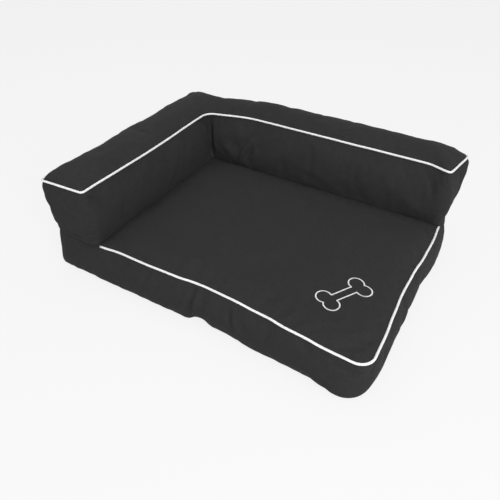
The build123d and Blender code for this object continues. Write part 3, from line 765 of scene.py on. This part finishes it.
def l_grids(lines):
    """The left arm, the corner and the back arm of an L-shaped panel, each with a mask of its seams."""
    end_left, inner_left, inner_back, end_right, outer_back, outer_left = lines
    outer_back, outer_left = outer_back[::-1], outer_left[::-1]
    arm_outer, corner_outer = outer_left[: arm_spaces + 1], outer_left[arm_spaces:]
    corner_back, back_outer = outer_back[: width_spaces + 1], outer_back[width_spaces:]
    share = np.linspace(0, 1, width_spaces + 1)[:, None]
    crease = inner_left[-1]
    left_cut = arm_outer[-1] * (1 - share) + crease * share
    back_cut = crease * (1 - share) + corner_back[-1] * share
    grids = (
        fill_grid(end_left, left_cut, arm_outer, inner_left),
        fill_grid(left_cut, corner_back, corner_outer, back_cut),
        fill_grid(inner_back, back_outer, back_cut, end_right),
    )
    seams = []
    for grid, borders in zip(grids, ((1, 0, 1, 1), (0, 1, 1, 0), (1, 1, 0, 1))):
        seam = np.zeros(grid.shape[:2])
        for border, edge in zip(borders, (seam[0], seam[-1], seam[:, 0], seam[:, -1])):
            edge[:] = np.maximum(edge, border)
        seams.append(seam)
    seams[1][0, -1] = seams[0][-1, -1] = seams[2][0, 0] = 1
    return zip(grids, seams)


bolster_levels = ((bolster_foot, foot_level), (bulge_height, bulge_level), (top_seam, top_level))
bolster_lines = [bolster_sides(level) for height, level in bolster_levels]
bolster_slot_rows = bolster_zip_rise + (slot_rows - zip_height) * bolster_zip_out[1]
bolster_heights = np.concatenate([
    [bolster_foot, bolster_foot + 0.003], np.linspace(bolster_foot + 0.008, 0.129, 3), bolster_slot_rows,
    np.linspace(0.158, top_seam - 0.005, 13), [top_seam],
])
bolster = Cover("bolster_cover", [canvas])
foot_lines = []
for side in range(6):
    grid = band_grid([lines[side] for lines in bolster_lines], bolster_heights, bolster_levels)
    bolster.band(grid, bolster_heights, (bolster_zip_rise, bolster_zip_half) if side == 4 else None)
    foot_lines.append(grid[0][:, :2])
for grid, seam in l_grids(bolster_lines[2]):
    height = np.where(seam > 0, top_seam, bolster_crown(grid))
    bolster.panel(np.dstack([grid, height]), grid, 0, seam)
for grid, seam in l_grids(foot_lines):
    height = np.full(grid.shape[:2], bolster_foot)
    bolster.panel(np.dstack([grid, height]), grid, 0, np.ones(grid.shape[:2]))
bolster_cover = bolster.sewn()
move_to(bolster_cover.data, settled_lean(places_of(bolster_cover.data)))
inflate(bolster_cover, stuffing_pressure, 0.010, bolster_give)
sink_zip(bolster_cover, bolster_zip_rise, bolster_zip_out, bolster_zip_half)
bolster_mesh = smoothed(bolster_cover)
places, outward = places_of(bolster_mesh), normals_of(bolster_mesh)
x, y, z = places.T
left_band_end = -0.255
# Each fold has its start, its end, its half width and its depth, and the crease has its ridges' share too
end_folds = (
    ((-0.292, -0.302, 0.240), (-0.305, -0.306, 0.195), 0.006, 0.0034),
    ((-0.280, -0.300, 0.242), (-0.266, -0.300, 0.215), 0.005, 0.0040),
    ((-0.272, -0.294, 0.242), (-0.257, -0.256, 0.206), 0.0055, 0.0044),
    ((-0.305, -0.303, 0.232), (-0.340, -0.306, 0.196), 0.008, 0.0016),
    ((-0.345, -0.302, 0.192), (-0.292, -0.302, 0.160), 0.022, 0.0060),
    ((-0.394, -0.302, 0.131), (-0.262, -0.300, 0.121), 0.0055, 0.0058),
    ((-0.330, -0.305, 0.152), (-0.262, -0.290, 0.140), 0.009, 0.0022),
)
inner_folds = (
    ((-0.170, 0.218, 0.215), (-0.235, 0.205, 0.158), 0.008, 0.0020),
    ((-0.202, 0.204, 0.188), (-0.172, 0.204, 0.168), 0.018, 0.0048),
    ((-0.160, 0.206, 0.190), (-0.182, 0.200, 0.142), 0.009, 0.0040),
    ((-0.130, 0.206, 0.210), (-0.166, 0.200, 0.132), 0.006, -0.0044),
    ((-0.120, 0.204, 0.184), (-0.148, 0.200, 0.140), 0.007, 0.0036),
    ((-0.235, 0.205, 0.170), (-0.200, 0.200, 0.130), 0.010, 0.0018),
    ((-0.269, 0.172, 0.240), (-0.264, 0.182, 0.190), 0.0055, -0.0034),
    ((-0.268, 0.160, 0.238), (-0.264, 0.168, 0.196), 0.006, 0.0022),
    ((0.02, 0.200, 0.150), (0.09, 0.198, 0.132), 0.010, 0.0012),
    ((0.352, 0.215, 0.225), (0.372, 0.205, 0.170), 0.008, 0.0022),
    ((0.366, 0.206, 0.243), (0.396, 0.204, 0.232), 0.0055, 0.0042),
    ((0.395, 0.222, 0.225), (0.404, 0.235, 0.180), 0.006, 0.0022),
)
crease = ((-0.267, 0.196, 0.241), (-0.263, 0.207, 0.108), 0.0080, 0.0110, 0.2)
moved = sum(fold(places, *line) for line in (*end_folds, *inner_folds, crease))
for x_seam in back_band_ends:
    moved += band_end(places[:, [0, 2]], x_seam, lean_foot, top_seam) * ease(y, 0.28, 0.29)
moved += band_end(places[:, [1, 2]], left_band_end, lean_foot, top_seam) * (1 - ease(x, -0.39, -0.37))
off_seams = ease(z, bolster_foot + 0.003, bolster_foot + 0.02) * ease(np.abs(z - top_seam), 0.001, 0.012)
beside_zip = (1 - ease(np.abs(z - bolster_zip_rise), 0.014, 0.028)) * ease(y, 0.27, 0.29)
moved += (unevenness(places, 0.09, 0.0030) + unevenness(places, 0.03, 0.0009)) * off_seams * (1 - beside_zip)
move_to(bolster_mesh, places + outward * moved[:, None])
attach(bolster_cover, "root")
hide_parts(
    "bolster_floor_panel", "bolster_inner_left_band", "bolster_inner_back_band", "bolster_outer_left_band",
    "bolster_back_band_lower", "bolster_back_band_upper", "bolster_top_panel", "bolster_left_filling",
    "bolster_back_filling",
)


# Piping. A cotton cord in white bias tape, sewn into the seat's open edges and into the whole edge of
# the bolster's top. The tape's weave lies slantwise along the bead.
piping_radius, piping_offset, piping_lift = 0.0026, 0.0027, 0.0006
height_wobble, thickness_wobble = 0.0006, 0.05
white_tape = cloth_finish("white_bias_tape", 246.0, 0.0007, 0.1, 0.03)
piping_sides = 14


def tube(name, rings, flat, closed, material):
    """A mesh through rings of points, with their places on the flat cloth, as an object."""
    build = bmesh.new()
    uv = build.loops.layers.uv.new("UVMap")
    made = [[build.verts.new(point) for point in ring] for ring in rings]
    for number in range(len(made) if closed else len(made) - 1):
        ring, ahead = made[number], made[(number + 1) % len(made)]
        for step in range(len(ring)):
            over = (step + 1) % len(ring)
            face = build.faces.new((ring[step], ahead[step], ahead[over], ring[over]))
            face.smooth = True
            corners = ((number, step), (number + 1, step), (number + 1, step + 1), (number, step + 1))
            for loop, corner in zip(face.loops, corners):
                loop[uv].uv = flat[corner]
    if not closed:
        for ring in (made[0], made[-1]):
            build.faces.new(ring)
    return built_piece(name, build, [material])


def bead(name, line, height, closed, node_names):
    """A round bead along a line of points in plan, a little uneven as sewn piping is."""
    count = len(line)
    places = np.column_stack([line, np.full(count, height)])
    wobble = np.array([noise(Vector(p) * 14.0) for p in places])
    places[:, 2] += wobble * height_wobble
    if closed:
        ahead = np.roll(places, -1, axis=0) - np.roll(places, 1, axis=0)
    else:
        ahead = np.gradient(places, axis=0)
    ahead /= np.linalg.norm(ahead, axis=1)[:, None]
    aside = np.cross(ahead, (0, 0, 1.0))
    aside /= np.linalg.norm(aside, axis=1)[:, None]
    upright = np.cross(aside, ahead)
    turns = [math.tau * step / piping_sides for step in range(piping_sides)]
    rings = []
    for place, out, up in zip(places, aside, upright):
        thick = piping_radius * (1 + thickness_wobble * noise(Vector(place) * 60.0))
        rings.append([place + out * math.cos(turn) * thick + up * math.sin(turn) * thick for turn in turns])
    run = run_along(places)
    if closed:
        run = np.append(run, run[-1] + run[1])
    around = piping_radius * math.tau * np.arange(piping_sides + 1) / piping_sides
    along, over = np.meshgrid(run, around, indexing="ij")
    piece = tube(name, rings, np.stack([along + over, over - along], -1) * 0.7, closed, white_tape)
    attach(piece, "root")
    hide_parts(*node_names)
    return piece


front_out, right_out = mattress_sides((piping_offset,) * 4, (seat_corner + piping_offset,) * 4, 1.0)[:2]
seat_line = np.vstack([front_out[:-1], right_out])
seat_line = seat_line[(seat_line[:, 0] > left_foot) & (seat_line[:, 1] < back_foot)]
seat_piping = bead(
    "seat_piping", seat_line, seat_seam + piping_lift, False,
    ["seat_piping_tape", "seat_piping_cord"],
)
top_line = np.vstack([line[:-1] for line in bolster_sides(top_level, piping_offset)])
top_line = settled_lean(np.column_stack([top_line, np.full(len(top_line), top_seam)]))[:, :2]
bolster_piping = bead(
    "bolster_piping", top_line, top_seam + piping_lift, True,
    ["bolster_piping_tape", "bolster_piping_cord"],
)


# Embroidery. A plain bone in outline on the seat's open corner, sewn by machine in white thread: close
# satin stitches that lie across the line, each one pulled into the canvas at both ends.
bead_sides, bead_rings = 8, 5


def repeated(name, places, ahead, up, size, finish):
    """A small rounded shape of that length, width and height at each place, laid along ahead, up on top."""
    mesh = bpy.data.meshes.new(name + "_places")
    mesh.from_pydata([tuple(place) for place in places], [], [])
    for label, vectors in (("ahead", ahead), ("up", up)):
        turned = np.broadcast_to(np.asarray(vectors, np.float32), (len(places), 3))
        mesh.attributes.new(label, "FLOAT_VECTOR", "POINT").data.foreach_set("vector", turned.ravel())
    piece = shown(name, mesh)
    tree = bpy.data.node_groups.new(name, "GeometryNodeTree")
    tree.interface.new_socket("Places", in_out="INPUT", socket_type="NodeSocketGeometry")
    inputs = {}
    for label, value in zip(("Length", "Width", "Height", "Sides"), (*size, bead_sides)):
        kind = "NodeSocketInt" if label == "Sides" else "NodeSocketFloat"
        inputs[tree.interface.new_socket(label, in_out="INPUT", socket_type=kind).identifier] = value
    tree.interface.new_socket("Result", in_out="OUTPUT", socket_type="NodeSocketGeometry")
    shape = Finish(tree)
    given = shape.node("NodeGroupInput")
    scale = [given.part(label) for label in ("Length", "Width", "Height")]
    scale = shape.node("ShaderNodeCombineXYZ", None, *scale)
    bead_shape = shape.node("GeometryNodeMeshUVSphere", None, given.part("Sides"), bead_rings, 0.5)
    bead_shape = shape.node("GeometryNodeTransform", None, Geometry=bead_shape, Scale=scale)
    vector = {"data_type": "FLOAT_VECTOR"}
    along = shape.node("GeometryNodeInputNamedAttribute", vector, "ahead")
    over = shape.node("GeometryNodeInputNamedAttribute", vector, "up")
    turn = shape.node("FunctionNodeAxesToRotation", {"primary_axis": "Z", "secondary_axis": "X"}, over, along)
    result = shape.node(
        "GeometryNodeInstanceOnPoints", None, Points=given.part("Places"), Instance=bead_shape, Rotation=turn
    )
    result = shape.node("GeometryNodeRealizeInstances", None, result)
    result = shape.node("GeometryNodeSetShadeSmooth", None, result)
    result = shape.node("GeometryNodeSetMaterial", None, Geometry=result, Material=finish)
    tree.links.new(result.socket, tree.nodes.new("NodeGroupOutput").inputs[0])
    laid = piece.modifiers.new("laid", "NODES")
    laid.node_group = tree
    for identifier, value in inputs.items():
        laid[identifier] = value
    made = bpy.data.meshes.new_from_object(piece.evaluated_get(bpy.context.evaluated_depsgraph_get()))
    piece.modifiers.remove(laid)
    piece.data = made
    bpy.data.meshes.remove(mesh)
    made.name = name
    return piece


def thread_finish(name, level, sheen, roughness):
    """Twisted sewing thread, with its fine plies and some unevenness along it, in Object coordinates."""
    material, finish, surface = new_finish(name)
    surface["Sheen Weight"].default_value = sheen
    surface["Specular IOR Level"].default_value = 0.3
    body = finish.node("ShaderNodeTexCoord").part("Object")
    plies = finish.node(
        "ShaderNodeTexWave", {"bands_direction": "DIAGONAL"},
        Vector=body, Scale=900.0, Distortion=1.5, Detail=1.0,
    )
    cloud = finish.node("ShaderNodeTexNoise", None, Vector=body, Scale=220.0, Detail=2.0)
    colour = finish.mix((plies * 0.5 + cloud * 0.5).share(), grey(level * 0.9), grey(level * 1.05))
    finish_surface(finish, surface, colour, cloud * 0.15 + (roughness - 0.07), 0.4, 0.0001, plies)
    return material


bone_middle, bone_turn = np.array([0.2955, -0.157]), math.radians(60)
knob_radius, knob_apart, knob_along, shaft_half = 0.0165, 0.0125, 0.042, 0.0090
stitch_gap, stitch_lift, satin_size = 0.00052, 0.00025, (0.0035, 0.00062, 0.0008)
knob_points, above_bed = 40, 0.3
shaft_meets = math.asin((shaft_half - knob_apart) / knob_radius)
swing = np.linspace(math.pi - shaft_meets, -math.asin(knob_apart / knob_radius), knob_points)
knob = np.column_stack([knob_along + knob_radius * np.cos(swing), knob_apart + knob_radius * np.sin(swing)])
half_bone = np.vstack([knob, (knob * (1, -1))[::-1]])
bone_line = np.vstack([half_bone, -half_bone])
bone_line = np.vstack([bone_line, bone_line[:1]])
bone_run = run_along(bone_line)
stitch_run = np.arange(0, bone_run[-1], stitch_gap)
bone_turned = bone_line @ np.array([
    (math.cos(bone_turn), math.sin(bone_turn)), (-math.sin(bone_turn), math.cos(bone_turn))
]) + bone_middle
stitch_places = np.column_stack([np.interp(stitch_run, bone_run, bone_turned[:, axis]) for axis in (0, 1)])
line_ahead = np.roll(stitch_places, -2, axis=0) - np.roll(stitch_places, 2, axis=0)
line_ahead /= np.linalg.norm(line_ahead, axis=1)[:, None]
downwards = Vector((0, 0, -1))
seat_hits = [mattress_cover.ray_cast(Vector((*place, above_bed)), downwards) for place in stitch_places]
on_cloth = np.array([hit[1] for hit in seat_hits])
cloth_up = np.array([hit[2] for hit in seat_hits])
across = np.column_stack([-line_ahead[:, 1], line_ahead[:, 0], np.zeros(len(line_ahead))])
white_thread = thread_finish("white_embroidery_thread", 236.0, 0.15, 0.45)
embroidery = repeated(
    "seat_embroidery", on_cloth + cloth_up * stitch_lift, across, cloth_up, satin_size, white_thread
)
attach(embroidery, "root")


# Zips. Black coil zips in the back bands: nylon coils sewn to woven tapes behind a stitched slot, with
# metal end stops, and a metal slider and pull on each. Each half of the coil is a row of small loops.
def plain_finish(name, colour, roughness, metallic=0.0, pitch=0.0):
    """Metal or tape in Object coordinates, with fine wear or a fine weave."""
    material, finish, surface = new_finish(name)
    surface["Metallic"].default_value = metallic
    body = finish.node("ShaderNodeTexCoord").part("Object")
    cloud = finish.node("ShaderNodeTexNoise", None, Vector=body, Scale=400.0, Detail=4.0)
    darker = tuple(part * 0.7 for part in colour[:3]) + (1.0,)
    height = cloud
    if pitch:
        apart = finish.node("ShaderNodeSeparateXYZ", None, body)
        height = weave(finish, apart.part("X"), apart.part("Z"), pitch)
    toned = finish.mix(height.share(), darker, colour)
    finish_surface(finish, surface, toned, cloud * 0.2 + (roughness - 0.1), 0.3, 0.0002, height)
    return material


tape_cloth = plain_finish("zip_tape_cloth", grey(30), 0.85, pitch=0.0008)
coil_nylon = plain_finish("zip_coil_nylon", grey(26), 0.4)
zip_metal = plain_finish("blackened_zip_metal", grey(96), 0.35, 0.9)
seam_thread = thread_finish("charcoal_seam_thread", 66.0, 0.05, 0.7)
coil_pitch, coil_size, coil_gap = 0.0014, (0.00125, 0.0026, 0.0022), 0.00075
coil_margin, coil_depth, coil_slant = 0.0037, 0.0009, 0.12
tape_width, tape_thickness, tape_margin = 0.014, 0.0007, 0.010
tape_depth, tape_groove, tape_steps, tape_rows = 0.0020, 0.00012, 9, 60
slot_stitch_pitch, slot_stitch_size, slot_stitch_inset = 0.0036, (0.0028, 0.0006, 0.0005), 0.0026
slot_stitch_margin, slot_stitch_lift = 0.004, 0.0001
for zip_name, height, out, half, lean in (
    ("mattress", zip_height, mattress_zip_out, zip_half, 0.0),
    ("bolster", bolster_zip_rise, bolster_zip_out, bolster_zip_half, back_lean),
):
    up = np.array([0.0, -out[2], out[1]])
    middle = np.array([0.0, back + lean * (height - lean_foot) / lean_rise, height])
    for side, sign in (("upper", 1), ("lower", -1)):
        node_name = "_".join((zip_name, "zip", "coil", side))
        along = np.arange(coil_margin - half, half - coil_margin, coil_pitch)
        along += coil_pitch / 2 if sign > 0 else 0
        loops = middle + np.outer(along, (1, 0, 0)) + up * sign * (coil_gap + coil_size[1] / 2)
        loops = loops - out * coil_depth
        coil = repeated(node_name + "_loops", loops, (1, 0, coil_slant * sign), out, coil_size, coil_nylon)
        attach(coil, "root")
        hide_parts(node_name)

        shares = np.linspace(0, 1, tape_steps)
        section = [
            (share * tape_width, -tape_depth - (tape_groove if 0 < share < 1 and step % 2 else 0))
            for step, share in enumerate(shares)
        ]
        section += [(share * tape_width, -tape_depth - tape_thickness) for share in shares[::-1]]
        rings = np.array([
            [
                middle + np.array([place, 0, 0]) + up * sign * (coil_gap + wide) + out * deep
                for wide, deep in section
            ]
            for place in np.linspace(-half - tape_margin, half + tape_margin, tape_rows)
        ])
        flat = np.concatenate([rings, rings[:, :1]], axis=1)[..., [0, 2]]
        tape = tube("_".join((zip_name, "woven_tape", side)), rings, flat, False, tape_cloth)
        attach(tape, "root")
        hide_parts("_".join((zip_name, "zip", "tape", side)))
    stitch_along = np.arange(-half - slot_stitch_margin, half + slot_stitch_margin, slot_stitch_pitch)
    stitch_line = middle + np.outer(stitch_along, (1, 0, 0))
    rows = [
        stitch_line + up * sign * (zip_slot + slot_stitch_inset) + out * slot_stitch_lift for sign in (1, -1)
    ]
    stitches = repeated(
        zip_name + "_slot_stitches", np.vstack(rows), (1, 0, 0), out, slot_stitch_size, seam_thread
    )
    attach(stitches, "root")

for node_name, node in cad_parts.items():
    if node_name.endswith(("zip_slider", "zip_pull", "zip_stops")):
        node.data.materials.clear()
        node.data.materials.append(zip_metal)


# Anti-slip dots. The underside's cloth is printed with small rubber dots in staggered rows, so that the bed
# stays where it is on a smooth floor.
dot_gap, dot_size, dot_level = 0.017, (0.0040, 0.0040, 0.0012), 0.0009
dot_rows, dot_columns, dot_side_margin, dot_front_margin = 37, 43, 0.035, 0.030
dot_row_gap = dot_gap * 0.87
dots = [
    (
        left + dot_side_margin + dot_gap * (column + 0.5 * (row % 2)),
        front + dot_front_margin + dot_row_gap * row,
        dot_level,
    )
    for row in range(dot_rows)
    for column in range(dot_columns)
]
dot_rubber = plain_finish("black_dot_rubber", grey(36), 0.7)
dot_piece = repeated("underside_dots", dots, (1, 0, 0), (0, 0, 1), dot_size, dot_rubber)
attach(dot_piece, "root")
